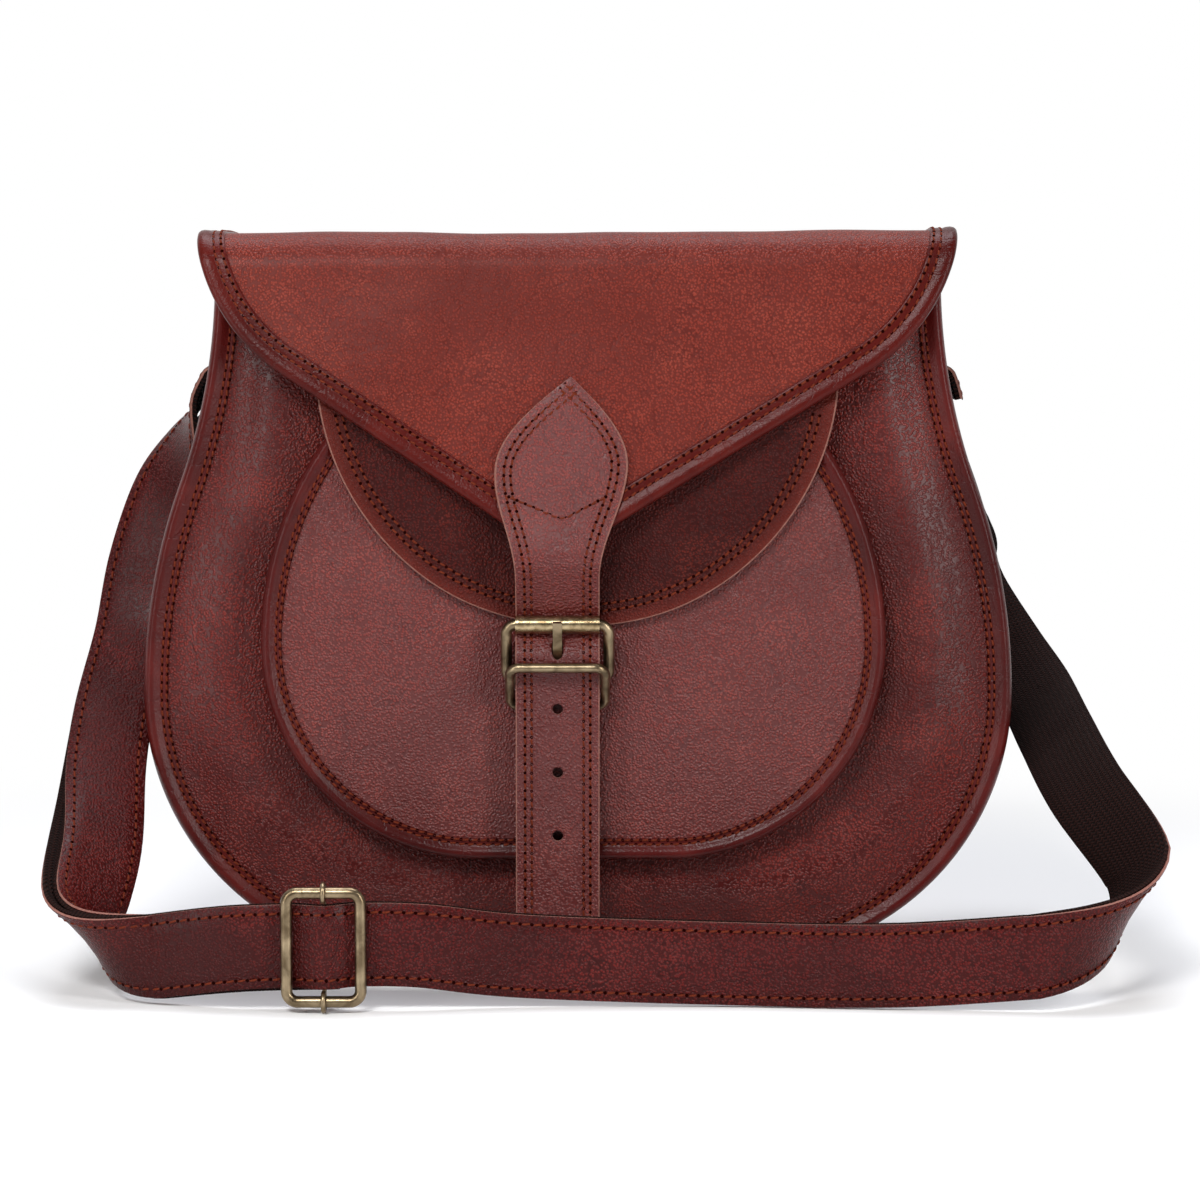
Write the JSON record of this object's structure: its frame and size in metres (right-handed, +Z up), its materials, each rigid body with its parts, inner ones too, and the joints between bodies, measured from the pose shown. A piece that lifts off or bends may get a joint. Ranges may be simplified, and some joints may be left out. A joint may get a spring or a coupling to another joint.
{
  "type": "saddle handbag",
  "caption": "Soft saddle handbag with a horseshoe body, front pocket, rounded flap, buckled closure strap and adjustable shoulder strap",
  "frame": {"origin": "middle of the front rim's flat foot, on the surface the bag stands on; Y zero is the mid-plane of the front panel", "axes": "+X to the right as seen from the front, +Y from the front to the back, +Z up"},
  "size_m": [0.4141, 0.219, 0.28],
  "materials": {
    "leather": "pebbled, low sheen",
    "binding_leather": "pebbled, low sheen",
    "lining_suede": "matte",
    "antique_brass": "antique, satin",
    "strap_leather": "pebbled, low sheen",
    "strap_webbing": "woven, matte"
  },
  "bodies": {
    "bag": {"front_panel": "leather", "back_panel": "leather", "gusset": "leather", "front_edge_binding": "binding_leather", "back_edge_binding": "binding_leather", "lining": "lining_suede", "pocket_panel": "leather", "pocket_gusset": "leather", "pocket_binding": "binding_leather", "buckle_chape": "leather", "left_strap_tab": "leather", "right_strap_tab": "leather", "tab_rivets": "antique_brass"},
    "flap": {"main_flap": "leather", "flap_lining": "lining_suede", "flap_binding": "binding_leather", "closure_strap": "leather", "closure_strap_backing": "lining_suede"},
    "inner_flap": {"pocket_flap": "leather"},
    "buckle": {"buckle_frame": "antique_brass"},
    "roller": {"buckle_roller": "antique_brass"},
    "prong": {"buckle_prong": "antique_brass"},
    "keeper": {"keeper_loop": "antique_brass"},
    "ring_left": {"left_ring": "antique_brass"},
    "ring_right": {"right_ring": "antique_brass"},
    "shoulder_strap": {"strap_leather": "strap_leather", "strap_webbing": "strap_webbing"},
    "slider": {"slider_frame": "antique_brass", "slider_bar": "antique_brass"}
  },
  "joints": [
    {"name": "flap_hinge", "type": "hinge", "parent": "bag", "child": "flap", "pos_m": [0, 0.0736, 0.2642], "axis": [-1, 0, 0], "range_deg": [0, 150], "deforming": ["closure_strap", "closure_strap_backing"]},
    {"name": "pocket_flap_hinge", "type": "hinge", "parent": "bag", "child": "inner_flap", "pos_m": [0, -0.001, 0.2312], "axis": [-1, 0, 0], "range_deg": [0, 75]},
    {"name": "buckle_swing", "type": "hinge", "parent": "bag", "child": "buckle", "pos_m": [-0.0075, -0.0204, 0.111], "axis": [1, 0, 0], "range_deg": [0, 75]},
    {"name": "prong_swing", "type": "hinge", "parent": "buckle", "child": "prong", "pos_m": [-0.0075, -0.0204, 0.111], "axis": [1, 0, 0], "range_deg": [0, 10]},
    {"name": "roller_spin", "type": "hinge", "parent": "buckle", "child": "roller", "pos_m": [-0.0075, -0.02853, 0.13251], "axis": [1, 0, 0], "continuous": true},
    {"name": "keeper_swing", "type": "hinge", "parent": "bag", "child": "keeper", "pos_m": [-0.0075, -0.0204, 0.101], "axis": [1, 0, 0], "range_deg": [0, 75]},
    {"name": "strap_swing", "type": "hinge", "parent": "bag", "child": "shoulder_strap", "pos_m": [0, 0.045, 0.24], "axis": [-1, 0, 0], "range_deg": [0, 180], "deforming": ["strap_leather", "strap_webbing"]},
    {"name": "left_ring_swing", "type": "hinge", "parent": "bag", "child": "ring_left", "pos_m": [-0.13368, 0.045, 0.24], "axis": [0, 1, 0], "range_deg": [0, 130]},
    {"name": "right_ring_swing", "type": "hinge", "parent": "bag", "child": "ring_right", "pos_m": [0.13368, 0.045, 0.24], "axis": [0, -1, 0], "range_deg": [0, 130]},
    {"name": "slider_slide", "type": "slide", "parent": "shoulder_strap", "child": "slider", "axis": [1, 0, 0], "range_m": [-0.04, 0.06]}
  ],
  "couplings": [
    {"joint": "pocket_flap_hinge", "follows": "flap_hinge", "ratio": 0.5},
    {"joint": "buckle_swing", "follows": "flap_hinge", "ratio": 0.5},
    {"joint": "prong_swing", "follows": "flap_hinge", "ratio": 0.0666},
    {"joint": "keeper_swing", "follows": "flap_hinge", "ratio": 0.5},
    {"joint": "left_ring_swing", "follows": "strap_swing", "ratio": 0.7222},
    {"joint": "right_ring_swing", "follows": "strap_swing", "ratio": 0.7222}
  ]
}
